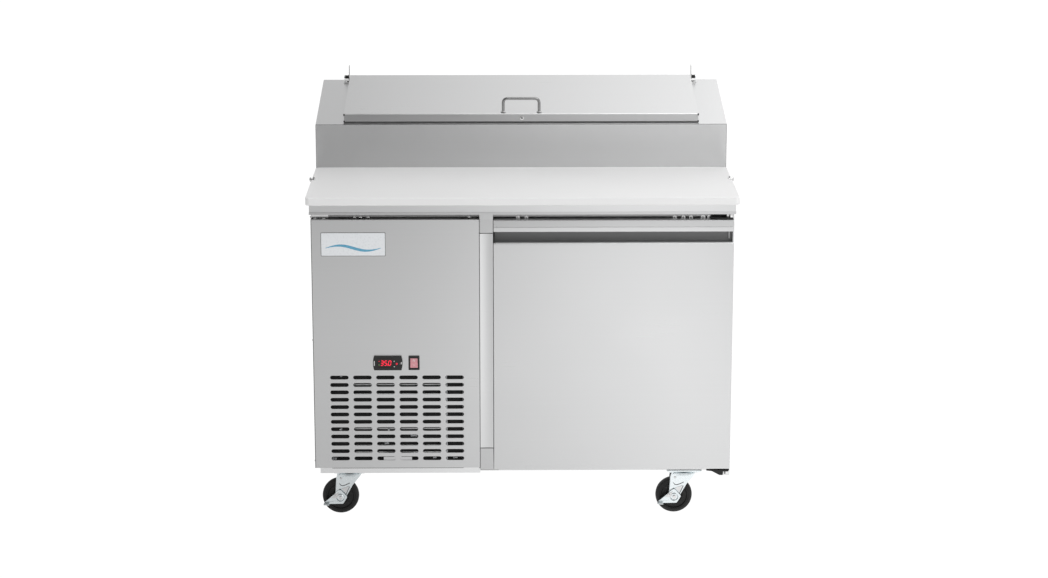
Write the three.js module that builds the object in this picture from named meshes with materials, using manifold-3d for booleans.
// A one-door refrigerated prep table: an insulated cabinet on casters, a deep white cutting board,
// and a raised hood with an insulated lid over a row of food pans. The compressor bay is on the left.
// Millimetres, +Z up, +X to the user's right, the user stands at -Y. The origin is on the floor,
// at the middle of the whole table.

import * as THREE from 'three';
import { mergeVertices } from 'three/addons/utils/BufferGeometryUtils.js';
import Module from 'manifold-3d';

const wasm = await Module();
wasm.setup();

// Driving dimensions
const CABINET_WIDTH = 1118;
const TABLE_DEPTH = 806;
const BOARD_WIDTH = 1140;
const BOARD_TOP = 905;
const BOARD_THICKNESS = 20;
const HOOD_WIDTH = 1138;
const HOOD_FRONT_HEIGHT = 1025;
const HOOD_BACK_HEIGHT = 1092;
const LID_WIDTH = 983;
const DOOR_WIDTH = 636;
const DOOR_THICKNESS = 46;
const WHEEL_DIAMETER = 100;
const WALL = 50;
const GAP = 0.4;

// Planes that the parts share
const SIDE = CABINET_WIDTH / 2;
const BACK = TABLE_DEPTH / 2;
const BOARD_FRONT = -TABLE_DEPTH / 2;
const DOOR_FRONT = BOARD_FRONT + 35;
const DOOR_BACK = DOOR_FRONT + DOOR_THICKNESS;
const GASKET_DEPTH = 15;
const CABINET_FACE = DOOR_BACK + GASKET_DEPTH + 1;
const BOARD_BOTTOM = BOARD_TOP - BOARD_THICKNESS;
const WORKTOP_TOP = BOARD_BOTTOM - GAP;
const WORKTOP_BOTTOM = 857;
const WALL_TOP = WORKTOP_BOTTOM - GAP;
const WELL_BOTTOM = 765;
const BASE_BOTTOM = 128.4;
const BAY_RIGHT = -114;
const MULLION_RIGHT = -78;
const ROOM_LEFT = BAY_RIGHT + WALL;
const ROOM_RIGHT = SIDE - WALL;
const ROOM_BOTTOM = 190;
const PANEL_TOP = 840;
const PANEL_BOTTOM = 156;
const RAIL_BOTTOM = 800;
const RAIL_BACK = CABINET_FACE + 36;
const NOSE_BOTTOM = PANEL_TOP + 3;
const PANEL_FOLD = 10;
const BAY_LEFT = -SIDE + 12;
const HOOD_FRONT = 26;
const HOOD_SIDE = HOOD_WIDTH / 2;
const HOOD_BACK = 392;
const HOOD_BASE = WORKTOP_TOP + 4;

// Colours
function finish(color, roughness, metalness) {
  return new THREE.MeshStandardMaterial({ color, roughness, metalness });
}

const steel = (shade = 0xc4c7c9) => finish(shade, 0.34, 0.9);
const zinc = () => finish(0xb9c6cf, 0.38, 0.85);
const blackPlastic = () => finish(0x141416, 0.5, 0);
const whitePlastic = () => finish(0xf2f3f4, 0.55, 0);
const greyPlastic = () => finish(0x8d9194, 0.6, 0);
const redPlastic = () => finish(0xc98593, 0.25, 0);
const blackPaint = () => finish(0x1c1d1f, 0.45, 0.3);
const aluminium = () => finish(0xb4b7ba, 0.4, 0.9);
const tyreRubber = () => finish(0x18191b, 0.7, 0);

const table = new THREE.Group();

function add(name, geometry, material, parent = table) {
  const mesh = new THREE.Mesh(geometry, material);
  mesh.name = name;
  parent.add(mesh);
  return mesh;
}

// A block between two corners
function block(x0, x1, y0, y1, z0, z1) {
  const geometry = new THREE.BoxGeometry(x1 - x0, y1 - y0, z1 - z0);
  return geometry.translate((x0 + x1) / 2, (y0 + y1) / 2, (z0 + z1) / 2);
}

// A round bar along one axis, centred on a point
function bar(axis, x, y, z, radius, length, sides = 24) {
  const geometry = new THREE.CylinderGeometry(radius, radius, length, sides);
  if (axis === 'x') geometry.rotateZ(Math.PI / 2);
  if (axis === 'z') geometry.rotateX(Math.PI / 2);
  return geometry.translate(x, y, z);
}

function outlineOf(points) {
  return new THREE.Shape(points.map(([u, v]) => new THREE.Vector2(u, v)));
}

// An outline of (y, z) points, run along X from x0 to x1
function runAlongX(points, x0, x1) {
  const geometry = new THREE.ExtrudeGeometry(outlineOf(points), { depth: x1 - x0, bevelEnabled: false });
  const turn = new THREE.Matrix4().makeBasis(
    new THREE.Vector3(0, 1, 0),
    new THREE.Vector3(0, 0, 1),
    new THREE.Vector3(1, 0, 0),
  );
  return geometry.applyMatrix4(turn).translate(x0, 0, 0);
}

// An outline of (x, z) points, run along Y from y0 to y1
function runAlongY(shape, y0, y1) {
  const geometry = new THREE.ExtrudeGeometry(shape, { depth: y1 - y0, bevelEnabled: false });
  return geometry.rotateX(Math.PI / 2).translate(0, y1, 0);
}

function roundHole(x, z, radius, sides) {
  const circle = new THREE.EllipseCurve(x, z, radius, radius);
  return new THREE.Path(circle.getPoints(sides).slice(0, -1));
}

function toSolid(geometry) {
  const bare = geometry.clone();
  bare.deleteAttribute('normal');
  bare.deleteAttribute('uv');
  const merged = mergeVertices(bare, 1e-3);
  const mesh = new wasm.Mesh({
    numProp: 3,
    vertProperties: new Float32Array(merged.attributes.position.array),
    triVerts: new Uint32Array(merged.index.array),
  });
  // Seam vertices that rounding left a hair apart are closed up here
  mesh.merge();
  return new wasm.Manifold(mesh);
}

function toGeometry(solid) {
  const mesh = solid.getMesh();
  const geometry = new THREE.BufferGeometry();
  geometry.setAttribute('position', new THREE.BufferAttribute(mesh.vertProperties, 3));
  geometry.setIndex(new THREE.BufferAttribute(mesh.triVerts, 1));
  geometry.computeVertexNormals();
  return geometry;
}

function cut(geometry, ...tools) {
  const solid = tools.reduce((left, tool) => left.subtract(toSolid(tool)), toSolid(geometry));
  return toGeometry(solid);
}

function join(geometry, ...others) {
  const solid = others.reduce((sum, other) => sum.add(toSolid(other)), toSolid(geometry));
  return toGeometry(solid);
}

// ---- Cabinet body ----

// A side or dividing wall: full height in front, lower behind, where the pan well rests on it
function steppedWall(x0, x1, front) {
  const wellStart = HOOD_FRONT + 1;
  const outline = [
    [front, BASE_BOTTOM],
    [BACK, BASE_BOTTOM],
    [BACK, WELL_BOTTOM - GAP],
    [wellStart - GAP, WELL_BOTTOM - GAP],
    [wellStart - GAP, WALL_TOP],
    [front, WALL_TOP],
  ];
  const wall = runAlongX(outline, x0, x1);
  const beam = block(x0 - 1, x1 + 1, CABINET_FACE - 1, RAIL_BACK + GAP, RAIL_BOTTOM - GAP, WALL_TOP + 1);
  const nose = block(x0 - 1, x1 + 1, front - 1, CABINET_FACE, NOSE_BOTTOM - GAP, WALL_TOP + 1);
  return cut(wall, beam, nose);
}

function makeCabinet() {
  const sheetFront = DOOR_FRONT + PANEL_FOLD + GAP;
  add('left_side_panel', steppedWall(-SIDE, BAY_LEFT, sheetFront), steel());
  add('right_side_wall', steppedWall(ROOM_RIGHT, SIDE, CABINET_FACE), steel());
  add('partition_wall', steppedWall(BAY_RIGHT, ROOM_LEFT, CABINET_FACE), greyPlastic());

  const roomBack = BACK - WALL;
  const left = ROOM_LEFT + GAP;
  const right = ROOM_RIGHT - GAP;
  const backWall = block(left, right, roomBack, BACK, BASE_BOTTOM, WELL_BOTTOM - GAP);
  add('back_wall', backWall, steel(0xb2b5b8));
  const floor = block(left, right, CABINET_FACE, roomBack - GAP, BASE_BOTTOM, ROOM_BOTTOM);
  add('cabinet_floor', floor, steel(0xb2b5b8));

  // The header across the top of the cabinet face, with a nose that fills the slot above the door
  const noseFront = DOOR_FRONT + 24;
  const header = [
    [noseFront, NOSE_BOTTOM],
    [CABINET_FACE, NOSE_BOTTOM],
    [CABINET_FACE, RAIL_BOTTOM],
    [RAIL_BACK, RAIL_BOTTOM],
    [RAIL_BACK, WALL_TOP],
    [noseFront, WALL_TOP],
  ];
  add('face_rail', runAlongX(header, -SIDE, SIDE), blackPaint());

  const mullion = block(BAY_RIGHT, MULLION_RIGHT, DOOR_FRONT + 4, CABINET_FACE - GAP, 150, PANEL_TOP);
  add('center_mullion', mullion, steel(0xc8cbcd));

  // The steel top under the board, with its front apron
  const worktop = block(-SIDE - 2, SIDE + 2, DOOR_FRONT - 17, HOOD_FRONT, WORKTOP_BOTTOM, WORKTOP_TOP);
  add('worktop', worktop, steel(0xc2c5c8));
}

// ---- Compressor bay ----

const VENT_COLUMNS = 6;
const VENT_ROWS = 12;
const VENT_PITCH_X = 61.6;
const VENT_PITCH_Z = 20.55;
const VENT_LENGTH = 49.4;
const VENT_HEIGHT = 10.2;
const VENT_FIRST_X = -490;
const VENT_FIRST_Z = 409;
const CONTROL_Z = 449.5;
const CONTROLLER_X = -360;
const SWITCH_X = -290;
const CONDENSER_FAN = { x: -340, z: 285, radius: 112 };
const GLAND = { x: -180, z: 210, radius: 11 };

// A round-ended slot in the XZ plane
function slotShape(x, z, length, height) {
  const radius = height / 2;
  const reach = length / 2 - radius;
  const shape = new THREE.Shape();
  shape.absarc(x + reach, z, radius, -Math.PI / 2, Math.PI / 2, false);
  shape.absarc(x - reach, z, radius, Math.PI / 2, Math.PI * 1.5, false);
  return shape;
}

function rectanglePath(x, z, width, height) {
  const path = new THREE.Path();
  path.moveTo(x - width / 2, z - height / 2);
  path.lineTo(x + width / 2, z - height / 2);
  path.lineTo(x + width / 2, z + height / 2);
  path.lineTo(x - width / 2, z + height / 2);
  path.closePath();
  return path;
}

function makeFrontPanel() {
  const left = -SIDE;
  const right = BAY_RIGHT - 1;
  const shape = outlineOf([
    [left, PANEL_BOTTOM],
    [right, PANEL_BOTTOM],
    [right, PANEL_TOP],
    [left, PANEL_TOP],
  ]);
  for (let row = 0; row < VENT_ROWS; row += 1) {
    for (let column = 0; column < VENT_COLUMNS; column += 1) {
      const x = VENT_FIRST_X + column * VENT_PITCH_X;
      const z = VENT_FIRST_Z - row * VENT_PITCH_Z;
      shape.holes.push(slotShape(x, z, VENT_LENGTH, VENT_HEIGHT));
    }
  }
  shape.holes.push(rectanglePath(CONTROLLER_X, CONTROL_Z, 71, 29));
  shape.holes.push(rectanglePath(SWITCH_X, CONTROL_Z, 23, 31));
  const solid = { depth: PANEL_FOLD, bevelEnabled: false, curveSegments: 2 };
  const plate = new THREE.ExtrudeGeometry(shape, solid);
  plate.rotateX(Math.PI / 2).translate(0, DOOR_FRONT + PANEL_FOLD, 0);
  add('front_panel', plate, steel(0xb8bbbe));
}

// The thermostat: a black bezel with bulged ends, a display window and four keys that press in
const KEYS = [
  { name: 'button_up', x: 17.4, z: 5.8, radius: 3.2 },
  { name: 'button_down', x: 17.4, z: -9.5, radius: 3.2 },
  { name: 'button_power', x: 24.1, z: -1.5, radius: 4 },
  { name: 'button_set', x: 33.2, z: -1.5, radius: 3 },
];
const KEY_TRAVEL = 1;

function bulgedShape(x, z, width, height, bulge) {
  const halfWidth = width / 2 - bulge;
  const halfHeight = height / 2;
  const shape = new THREE.Shape();
  shape.moveTo(x - halfWidth, z - halfHeight);
  shape.lineTo(x + halfWidth, z - halfHeight);
  shape.quadraticCurveTo(x + halfWidth + 2 * bulge, z, x + halfWidth, z + halfHeight);
  shape.lineTo(x - halfWidth, z + halfHeight);
  shape.quadraticCurveTo(x - halfWidth - 2 * bulge, z, x - halfWidth, z - halfHeight);
  return shape;
}

function makeController() {
  const front = DOOR_FRONT - 5;
  const seat = DOOR_FRONT - GAP;
  const bezelShape = bulgedShape(CONTROLLER_X, CONTROL_Z, 79, 39, 3);
  const bezel = runAlongY(bezelShape, front, seat);
  const rearHalf = 35;
  const rearLeft = CONTROLLER_X - rearHalf;
  const rearRight = CONTROLLER_X + rearHalf;
  const rear = block(rearLeft, rearRight, seat - 1, DOOR_FRONT + 22, CONTROL_Z - 14, CONTROL_Z + 14);

  const windowLeft = CONTROLLER_X - 27;
  const windowRight = CONTROLLER_X + 13;
  const windowLow = CONTROL_Z - 12;
  const windowHigh = CONTROL_Z + 13;
  const windowDepth = 1.6;
  const seatBack = front + windowDepth;
  const windowSeat = block(windowLeft, windowRight, front - 1, seatBack, windowLow, windowHigh);
  const keyLength = 1.6;
  const wellLength = 2 * (keyLength + KEY_TRAVEL);
  const keyWells = KEYS.map((key) => bar(
    'y', CONTROLLER_X + key.x, front, CONTROL_Z + key.z, key.radius + GAP, wellLength, 16,
  ));
  add('controller_housing', cut(join(bezel, rear), windowSeat, ...keyWells), blackPlastic());
  const glass = block(
    windowLeft + GAP, windowRight - GAP, front + 0.2, seatBack - GAP, windowLow + GAP, windowHigh - GAP,
  );
  add('display_window', glass, redPlastic());
  for (const key of KEYS) {
    const keyY = front - 0.4 + keyLength / 2;
    const cap = bar('y', CONTROLLER_X + key.x, keyY, CONTROL_Z + key.z, key.radius, keyLength, 16);
    add(key.name, cap, greyPlastic());
  }
}

// The lit mains switch: a frame in the panel and a rocker on a cross pin
const ROCKER_HALF = 12.2;
const ROCKER_TILT = 8;

function makeSwitch() {
  const front = DOOR_FRONT - 3;
  const around = (halfWidth, halfHeight, y0, y1) => block(
    SWITCH_X - halfWidth, SWITCH_X + halfWidth, y0, y1, CONTROL_Z - halfHeight, CONTROL_Z + halfHeight,
  );
  const collar = around(14.8, 19.6, front, DOOR_FRONT - GAP);
  const body = around(11, 15, front + 1, DOOR_FRONT + 24);
  const well = around(10.4, 14, front - 1, DOOR_FRONT + 12);
  add('switch_bezel', cut(join(collar, body), well), blackPlastic());
  // Side view of the rocker, a shallow V that stands out at its lower end
  const tilt = THREE.MathUtils.degToRad(ROCKER_TILT);
  const proud = ROCKER_HALF * Math.tan(tilt);
  const crest = front - 0.6;
  const outline = [
    [crest - proud, -ROCKER_HALF],
    [crest + 6, -ROCKER_HALF + 2],
    [crest + 9, 0],
    [crest + 6, ROCKER_HALF - 2],
    [crest + proud, ROCKER_HALF],
    [crest, 0],
  ];
  const rocker = runAlongX(outline, SWITCH_X - 10, SWITCH_X + 10);
  add('switch_rocker', rocker.translate(0, 0, CONTROL_Z), redPlastic());
}

function makeCompressorBay() {
  // The tray that carries the compressor and its coil: a sheet with a turned-up front, on a thick sole
  const trayFront = DOOR_FRONT + 22;
  const left = BAY_LEFT + GAP;
  const right = BAY_RIGHT - GAP;
  const trayBack = BACK - 9;
  const sole = block(left, right, trayFront + 30, trayBack, BASE_BOTTOM, 135);
  const sheet = block(left, right, trayFront, trayBack, 134, 137);
  const lip = block(left, right, trayFront, trayFront + 3, 134, 155);
  add('compressor_base', join(sole, sheet, lip), steel(0xd0d3d5));

  const trayTop = 137 + GAP;
  const domeProfile = [
    [0, 0], [70, 0], [78, 20], [80, 90], [74, 130], [52, 158], [0, 168],
  ].map(([radius, height]) => new THREE.Vector2(radius, height));
  const dome = new THREE.LatheGeometry(domeProfile, 28).rotateX(Math.PI / 2).translate(0, 0, 12);
  const feet = block(-95, 95, -80, 80, 0, 6);
  const neck = bar('z', 0, 0, 10, 66, 12, 28);
  const compressor = join(dome, neck, feet).translate(-330, 230, trayTop);
  add('compressor', compressor, blackPaint());

  // Finned condenser block, with the sheet shroud of its fan riveted to its back
  const coilFront = trayFront + 14;
  const coilBack = coilFront + 44;
  const coil = block(-520, -160, coilFront, coilBack, trayTop, 430);
  const shroud = block(-500, -180, coilBack - 1, coilBack + 60, trayTop, 425);
  const hollow = block(-496, -184, coilBack, coilBack + 56, trayTop + 4, 421);
  const fanHole = bar('y', CONDENSER_FAN.x, coilBack + 58, CONDENSER_FAN.z, CONDENSER_FAN.radius + 8, 20, 32);
  add('condenser_coil', join(coil, cut(shroud, hollow, fanHole)), blackPaint());

  // The plate over the vented back of the bay, and the bush that the supply lead comes through
  const grille = block(left, right, BACK - 8, BACK - 4, 156, WELL_BOTTOM - GAP);
  const louvres = [];
  for (let row = 0; row < 8; row += 1) {
    for (let column = 0; column < 3; column += 1) {
      const x = -450 + column * 110;
      const z = 300 + row * 34;
      louvres.push(block(x - 43, x + 43, BACK - 9, BACK - 3, z - 6, z + 6));
    }
  }
  const glandHole = bar('y', GLAND.x, BACK, GLAND.z, GLAND.radius + GAP, 20, 20);
  add('rear_grille', cut(grille, ...louvres, glandHole), steel(0xa8abae));
  const barrel = bar('y', GLAND.x, BACK - 14, GLAND.z, GLAND.radius, 24, 20);
  const flange = bar('y', GLAND.x, BACK - 2, GLAND.z, GLAND.radius + 5, 3.2, 20);
  const throat = bar('y', GLAND.x, BACK - 14, GLAND.z, 4.5, 40, 16);
  add('cord_gland', cut(join(barrel, flange), throat), blackPlastic());
}

// A fan on an axis along Y: a hub with pitched blades
function fanGeometry(x, y, z, radius, blades) {
  const hub = bar('y', x, y, z, radius * 0.26, 22, 20);
  const all = [];
  for (let index = 0; index < blades; index += 1) {
    const blade = block(-radius * 0.2, radius * 0.2, -1, 1, radius * 0.15, radius * 0.96);
    blade.rotateZ(THREE.MathUtils.degToRad(28));
    blade.rotateY((index / blades) * Math.PI * 2);
    all.push(blade.translate(x, y, z));
  }
  return join(hub, ...all);
}

function makeCooling() {
  const coilFront = DOOR_FRONT + 36;
  const fanY = coilFront + 44 + 44;
  const bigFan = fanGeometry(CONDENSER_FAN.x, fanY, CONDENSER_FAN.z, CONDENSER_FAN.radius, 5);
  add('condenser_fan', bigFan, blackPlastic());

  // Evaporator box high on the back wall of the cold room, with its own small fan
  const roomBack = BACK - WALL;
  const box = block(60, 400, roomBack - 62, roomBack - GAP, 560, 740);
  add('evaporator_coil', box, aluminium());
  add('evaporator_fan', fanGeometry(230, roomBack - 76, 650, 58, 4), blackPlastic());

  // The shelf: a flat wire frame with cross wires
  const wire = 5;
  const level = 450;
  const left = ROOM_LEFT + 12;
  const right = ROOM_RIGHT - 12;
  const front = CABINET_FACE + 50;
  const back = roomBack - 20;
  const rim = 8;
  const across = (y) => block(left, right, y - rim / 2, y + rim / 2, level - rim, level);
  const rails = [front, (front + back) / 2, back].map(across);
  const ends = [left, right - rim].map((x) => block(x, x + rim, front, back, level - rim, level));
  const wires = [];
  const wireCount = 11;
  for (let index = 1; index <= wireCount; index += 1) {
    const x = left + ((right - left) * index) / (wireCount + 1);
    wires.push(block(x - wire / 2, x + wire / 2, front, back, level - wire, level));
  }
  add('wire_shelf', join(rails[0], rails[1], rails[2], ...ends, ...wires), whitePlastic());
}

// ---- Door ----

const DOOR_LEFT = MULLION_RIGHT + 1;
const DOOR_RIGHT = DOOR_LEFT + DOOR_WIDTH;
const DOOR_TOP = 838;
const DOOR_BOTTOM = 150;
const RECESS_TOP = 806;
const RECESS_BOTTOM = 777;
const RECESS_DEPTH = 28;

function makeDoor() {
  // Side view of the foamed shell: the finger channel runs the full width, under a folded top band
  const outline = [
    [DOOR_FRONT, DOOR_BOTTOM],
    [DOOR_BACK, DOOR_BOTTOM],
    [DOOR_BACK, DOOR_TOP],
    [DOOR_FRONT + 3, DOOR_TOP],
    [DOOR_FRONT, DOOR_TOP - 3],
    [DOOR_FRONT, RECESS_TOP],
    [DOOR_FRONT + RECESS_DEPTH, RECESS_TOP],
    [DOOR_FRONT + RECESS_DEPTH, RECESS_BOTTOM],
    [DOOR_FRONT, RECESS_BOTTOM],
  ];
  add('door_shell', runAlongX(outline, DOOR_LEFT, DOOR_RIGHT), steel(0xd6d8da));

  // A block on the door's back, with its edges inside the door's by an inset, and more at the top if asked
  const onBack = (inset, y0, y1, topInset = inset) => block(
    DOOR_LEFT + inset, DOOR_RIGHT - inset, y0, y1, DOOR_BOTTOM + inset, DOOR_TOP - topInset,
  );
  const gasketBack = DOOR_BACK + GASKET_DEPTH;
  add('door_liner', onBack(34, DOOR_BACK + GAP, gasketBack - 5, 52), whitePlastic());
  const outer = onBack(14, DOOR_BACK + GAP, gasketBack);
  const inner = onBack(32, DOOR_BACK - 1, gasketBack + 1);
  add('door_gasket', cut(outer, inner), greyPlastic());

  // Hinge arms above and below the door, screwed to the cabinet
  const hingeLeft = DOOR_RIGHT - 62;
  const topArm = block(hingeLeft, SIDE, DOOR_FRONT + 2, DOOR_FRONT + 23, DOOR_TOP + 1, DOOR_TOP + 5);
  const tailTop = WORKTOP_BOTTOM - 3;
  const topTail = block(hingeLeft, SIDE, DOOR_FRONT + 2, DOOR_FRONT + 6, DOOR_TOP + 1, tailTop);
  add('door_hinge_top', join(topArm, topTail), steel(0xd0d3d5));
  const armBack = CABINET_FACE - GAP;
  const armTop = DOOR_BOTTOM - 3;
  const lowArm = block(hingeLeft, SIDE, DOOR_FRONT + 2, armBack, DOOR_BOTTOM - 7, armTop);
  const lowTail = block(hingeLeft, SIDE, CABINET_FACE - 4 - GAP, armBack, DOOR_BOTTOM - 20, armTop);
  add('door_hinge_bottom', join(lowArm, lowTail), steel(0xd0d3d5));
}

// ---- Pan well, hood and lid ----

const PAN_COUNT = 5;
const PAN_PITCH = 180;
const PAN_WIDTH = 176;
const PAN_LENGTH = 325;
const PAN_DEPTH = 100;
const PAN_MIDDLE = (HOOD_FRONT + HOOD_BACK) / 2 - 3;
const PAN_BODY_WIDTH = 160;
const PAN_BODY_LENGTH = 305;

function panX(index) {
  return (index - (PAN_COUNT - 1) / 2) * PAN_PITCH;
}

function makeWell() {
  const wellFront = HOOD_FRONT + 1;
  const outer = block(-SIDE, SIDE, wellFront, BACK, WELL_BOTTOM, WORKTOP_TOP - GAP);
  const inner = block(-SIDE + 40, SIDE - 40, wellFront + 12, BACK - 22, WELL_BOTTOM + 14, WORKTOP_TOP);
  const window = block(
    ROOM_LEFT + 14, ROOM_RIGHT - 10, wellFront + 30, BACK - 60, WELL_BOTTOM - 1, WELL_BOTTOM + 20,
  );
  add('pan_well', cut(outer, inner, window), greyPlastic());

  const railSide = HOOD_SIDE - 1;
  const railTop = WORKTOP_TOP + 3;
  const rail = block(-railSide, railSide, HOOD_FRONT + 1, BACK, WORKTOP_TOP, railTop);
  const clearance = 1.5;
  const halfWidth = PAN_BODY_WIDTH / 2 + clearance;
  const halfLength = PAN_BODY_LENGTH / 2 + clearance;
  const panHoles = [];
  for (let index = 0; index < PAN_COUNT; index += 1) {
    const x = panX(index);
    const y0 = PAN_MIDDLE - halfLength;
    const y1 = PAN_MIDDLE + halfLength;
    panHoles.push(block(x - halfWidth, x + halfWidth, y0, y1, WORKTOP_TOP - 1, railTop + 1));
  }
  add('pan_rail', cut(rail, ...panHoles), steel(0xb8bbbe));
}

function makePans() {
  const rimBottom = WORKTOP_TOP + 3 + GAP;
  const sheet = 2;
  for (let index = 0; index < PAN_COUNT; index += 1) {
    const rim = block(-PAN_WIDTH / 2, PAN_WIDTH / 2, -PAN_LENGTH / 2, PAN_LENGTH / 2, 0, sheet);
    const bodyX = PAN_BODY_WIDTH / 2;
    const bodyY = PAN_BODY_LENGTH / 2;
    const body = block(-bodyX, bodyX, -bodyY, bodyY, -PAN_DEPTH, sheet);
    const insideX = bodyX - sheet;
    const insideY = bodyY - sheet;
    const inside = block(-insideX, insideX, -insideY, insideY, -PAN_DEPTH + sheet, sheet + 1);
    const pan = cut(join(rim, body), inside).translate(panX(index), PAN_MIDDLE, rimBottom);
    add(`food_pan_${index + 1}`, pan, steel(0xcfd2d4));
  }
}

const HOOD_SLOPE = (HOOD_BACK_HEIGHT - HOOD_FRONT_HEIGHT) / (HOOD_BACK - HOOD_FRONT);

function hoodTopAt(y) {
  return HOOD_FRONT_HEIGHT + (y - HOOD_FRONT) * HOOD_SLOPE;
}

function makeHood() {
  const roof = 12;
  const wall = 14;
  const outer = runAlongX([
    [HOOD_FRONT, HOOD_BASE],
    [HOOD_BACK, HOOD_BASE],
    [HOOD_BACK, HOOD_BACK_HEIGHT],
    [HOOD_FRONT, HOOD_FRONT_HEIGHT],
  ], -HOOD_SIDE, HOOD_SIDE);
  const inner = runAlongX([
    [HOOD_FRONT + wall, HOOD_BASE - 1],
    [HOOD_BACK - wall, HOOD_BASE - 1],
    [HOOD_BACK - wall, HOOD_BACK_HEIGHT - roof - wall * HOOD_SLOPE],
    [HOOD_FRONT + wall, HOOD_FRONT_HEIGHT - roof + wall * HOOD_SLOPE],
  ], -HOOD_SIDE + wall, HOOD_SIDE - wall);
  const mouth = LID_WIDTH / 2 - 22;
  const opening = block(-mouth, mouth, HOOD_FRONT + 17, HOOD_BACK - 22, HOOD_BASE, HOOD_BACK_HEIGHT + 1);
  add('hood_shell', cut(outer, inner, opening), steel(0xa6a9ac));
}

const LID_FRONT = HOOD_FRONT + 13;
const LID_BACK = HOOD_BACK - 14;
const LID_FRONT_THICKNESS = 25;
const LID_BACK_THICKNESS = 18;
const LID_PIVOT_Y = LID_BACK + 5;
const LID_PIVOT_Z = hoodTopAt(LID_BACK) + 12;

function makeLid() {
  const lift = 1;
  const outline = [
    [LID_FRONT, hoodTopAt(LID_FRONT) + lift],
    [LID_BACK, hoodTopAt(LID_BACK) + lift],
    [LID_BACK, hoodTopAt(LID_BACK) + LID_BACK_THICKNESS],
    [LID_FRONT + 1, hoodTopAt(LID_FRONT) + LID_FRONT_THICKNESS],
    [LID_FRONT, hoodTopAt(LID_FRONT) + LID_FRONT_THICKNESS - 1],
  ];
  const panel = runAlongX(outline, -LID_WIDTH / 2, LID_WIDTH / 2);
  add('lid_panel', panel, steel(0xd4d6d8));

  // The lid's wire handle, a D that stands up near the front edge
  const handleY = LID_FRONT + 16;
  const foot = lidTopAt(handleY) + GAP;
  const half = 50;
  const rise = 41;
  const bend = 13;
  const wire = 4;
  const path = new THREE.CurvePath();
  const point = (x, z) => new THREE.Vector3(x, handleY, foot + z);
  path.add(new THREE.LineCurve3(point(-half, 1), point(-half, rise - wire - bend)));
  path.add(new THREE.QuadraticBezierCurve3(
    point(-half, rise - wire - bend), point(-half, rise - wire), point(-half + bend, rise - wire),
  ));
  path.add(new THREE.LineCurve3(point(-half + bend, rise - wire), point(half - bend, rise - wire)));
  path.add(new THREE.QuadraticBezierCurve3(
    point(half - bend, rise - wire), point(half, rise - wire), point(half, rise - wire - bend),
  ));
  path.add(new THREE.LineCurve3(point(half, rise - wire - bend), point(half, 1)));
  const section = new THREE.Shape();
  section.absarc(0, 0, wire, 0, Math.PI * 2);
  const along = { steps: 24, extrudePath: path, curveSegments: 5, bevelEnabled: false };
  const rod = new THREE.ExtrudeGeometry(section, along);
  add('lid_handle', rod, steel(0x9b9ea1));
}

function lidTopAt(y) {
  const share = (y - LID_FRONT) / (LID_BACK - LID_FRONT);
  const thickness = LID_FRONT_THICKNESS + (LID_BACK_THICKNESS - LID_FRONT_THICKNESS) * share;
  return hoodTopAt(y) + thickness;
}

// A hinge plate beside each back corner of the lid, with an ear that stops the open lid
function makeLidHinge(name, side) {
  const plate = 3;
  const inner = side * (LID_WIDTH / 2 + 1.5);
  const outer = inner + side * plate;
  const low = Math.min(inner, outer);
  const high = Math.max(inner, outer);
  const y0 = LID_BACK - 8;
  const base = hoodTopAt(y0 + 22) + 0.8;
  const ear = runAlongX([
    [y0, base],
    [y0 + 21, base],
    [y0 + 21, base + 20],
    [y0 + 15, base + 43],
    [y0 + 9, base + 43],
    [y0, base + 16],
  ], low, high);
  const footX = inner + side * 16;
  const foot = runAlongX([
    [y0 - 6, hoodTopAt(y0 - 6) + GAP],
    [y0 + 21, hoodTopAt(y0 + 21) + GAP],
    [y0 + 21, hoodTopAt(y0 + 21) + GAP + 3],
    [y0 - 6, hoodTopAt(y0 - 6) + GAP + 3],
  ], Math.min(inner, footX), Math.max(inner, footX));
  const knuckle = bar('x', inner + side * 9, LID_PIVOT_Y, LID_PIVOT_Z, 5, 13, 16);
  add(name, join(ear, foot, knuckle), steel(0x8d9093));
}

// ---- Board ----

const BRACKET_Y = -140;

function makeBoard() {
  const half = BOARD_WIDTH / 2;
  const notches = [-1, 1].map((side) => block(
    side * half - 9, side * half + 9, BRACKET_Y - 14, BRACKET_Y + 14, BOARD_BOTTOM - 1, BOARD_TOP + 1,
  ));
  const slab = block(-half, half, BOARD_FRONT, HOOD_FRONT - 1, BOARD_BOTTOM, BOARD_TOP);
  add('cutting_board', cut(slab, ...notches), whitePlastic());
  // Locating brackets on the sides of the worktop, standing in the notches
  for (const [name, side] of [['board_bracket_left', -1], ['board_bracket_right', 1]]) {
    const inner = side * (SIDE + 2 + GAP);
    const outer = side * (half + 6);
    const face = side * (SIDE + 5);
    const near = Math.min(inner, face);
    const far = Math.max(inner, face);
    const foot = WORKTOP_BOTTOM + 6;
    const upright = block(near, far, BRACKET_Y - 11, BRACKET_Y + 11, foot, BOARD_TOP + 5);
    const stud = bar('x', (inner + outer) / 2, BRACKET_Y, BOARD_TOP - 2, 6, Math.abs(outer - inner), 16);
    add(name, join(upright, stud), steel(0xc0c3c6));
  }
}

// ---- Casters ----

const CASTERS = [
  { name: 'front_left', x: -471, y: -275, brake: true },
  { name: 'front_right', x: 441, y: -275, brake: true },
  { name: 'rear_left', x: -471, y: 300, brake: false },
  { name: 'rear_right', x: 441, y: 300, brake: false },
];
const CASTER_TRAIL = 26;
const WHEEL_WIDTH = 26;
const PLATE_TOP = BASE_BOTTOM - GAP;
const PLATE_BOTTOM = PLATE_TOP - 4;
const FORK_TOP = PLATE_BOTTOM - 1;

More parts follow.
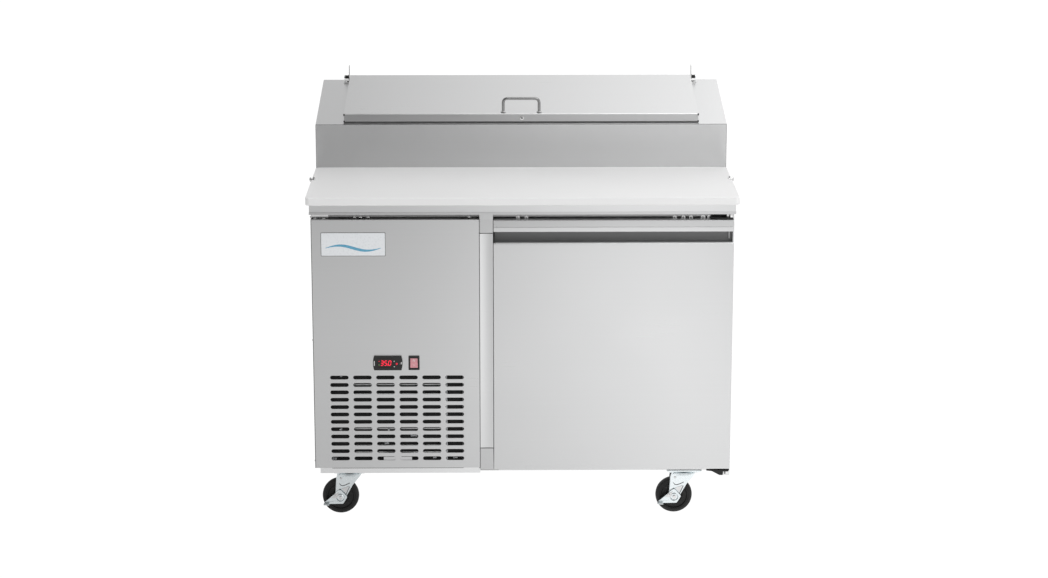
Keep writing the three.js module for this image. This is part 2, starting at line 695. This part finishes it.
function makeCaster({ name, x, y, brake }) {
  const caster = new THREE.Group();
  caster.position.set(x, y, 0);
  table.add(caster);
  const radius = WHEEL_DIAMETER / 2;

  const plate = block(-48, 48, -36, 36, PLATE_BOTTOM, PLATE_TOP);
  add(`caster_plate_${name}`, plate, zinc(), caster);

  // Fork: a round crown, two tapered cheeks and the axle bolt with its nuts
  const crown = bar('z', 0, 0, FORK_TOP - 4, 36, 8, 32);
  const cheekInside = WHEEL_WIDTH / 2 + 3;
  const cheekShape = new THREE.Shape();
  cheekShape.moveTo(-36, FORK_TOP - 1);
  cheekShape.lineTo(36, FORK_TOP - 1);
  cheekShape.lineTo(-CASTER_TRAIL + 12, radius - 4);
  cheekShape.absarc(-CASTER_TRAIL, radius, 13, -0.35, -Math.PI + 0.2, true);
  cheekShape.lineTo(-40, radius + 10);
  const cheeks = [-1, 1].map((side) => {
    const near = side > 0 ? cheekInside : -cheekInside - 3;
    return runAlongY(cheekShape, near, near + 3);
  });
  const bolt = bar('y', -CASTER_TRAIL, 0, radius, 5, 2 * (cheekInside + 6), 16);
  const nuts = [-1, 1].map((side) => bar('y', -CASTER_TRAIL, side * (cheekInside + 6), radius, 10, 7, 6));
  add(`caster_fork_${name}`, join(crown, ...cheeks, bolt, ...nuts), zinc(), caster);

  // Wheel: a flat-sided tyre with a dished hub, bored for the bolt
  const wheelProfile = [
    [6, -WHEEL_WIDTH / 2], [18, -WHEEL_WIDTH / 2], [20, -6], [36, -6], [38, -WHEEL_WIDTH / 2 + 2],
    [radius - 3, -WHEEL_WIDTH / 2 + 2], [radius, -WHEEL_WIDTH / 2 + 6],
    [radius, WHEEL_WIDTH / 2 - 6], [radius - 3, WHEEL_WIDTH / 2 - 2],
    [38, WHEEL_WIDTH / 2 - 2], [36, 6], [20, 6], [18, WHEEL_WIDTH / 2], [6, WHEEL_WIDTH / 2],
    [6, -WHEEL_WIDTH / 2],
  ].map(([r, h]) => new THREE.Vector2(r, h));
  const sides = 24;
  const wheel = new THREE.LatheGeometry(wheelProfile, sides);
  // Turned by half a facet, so that it stands on a flat
  wheel.rotateY(Math.PI / sides).scale(1 / Math.cos(Math.PI / sides), 1, 1 / Math.cos(Math.PI / sides));
  add(`caster_wheel_${name}`, wheel.translate(-CASTER_TRAIL, 0, radius), tyreRubber(), caster);

  if (brake) {
    // A pressed lever in front of the near cheek, hung on the axle, with its tread at the low end
    const leverShape = new THREE.Shape();
    leverShape.moveTo(-CASTER_TRAIL - 14, radius + 12);
    leverShape.lineTo(-CASTER_TRAIL + 2, radius + 22);
    leverShape.lineTo(-CASTER_TRAIL + 17, radius + 2);
    leverShape.lineTo(-CASTER_TRAIL + 7, radius - 17);
    leverShape.lineTo(-CASTER_TRAIL - 34, radius - 19);
    leverShape.lineTo(-CASTER_TRAIL - 44, radius - 13);
    leverShape.lineTo(-CASTER_TRAIL - 26, radius + 1);
    leverShape.holes.push(roundHole(-CASTER_TRAIL, radius, 10.8, 16));
    const lever = runAlongY(leverShape, -cheekInside - 6.4, -cheekInside - 3 - GAP);
    const tread = block(
      -CASTER_TRAIL - 46, -CASTER_TRAIL - 30, -cheekInside - 22, -cheekInside - 6, radius - 19, radius - 15.5,
    );
    add(`brake_pedal_${name}`, join(lever, tread), zinc(), caster);
  }
}

makeCabinet();
makeFrontPanel();
makeController();
makeSwitch();
makeCompressorBay();
makeCooling();
makeDoor();
makeWell();
makePans();
makeHood();
makeLid();
makeLidHinge('lid_hinge_left', -1);
makeLidHinge('lid_hinge_right', 1);
makeBoard();
CASTERS.forEach(makeCaster);

export default table;
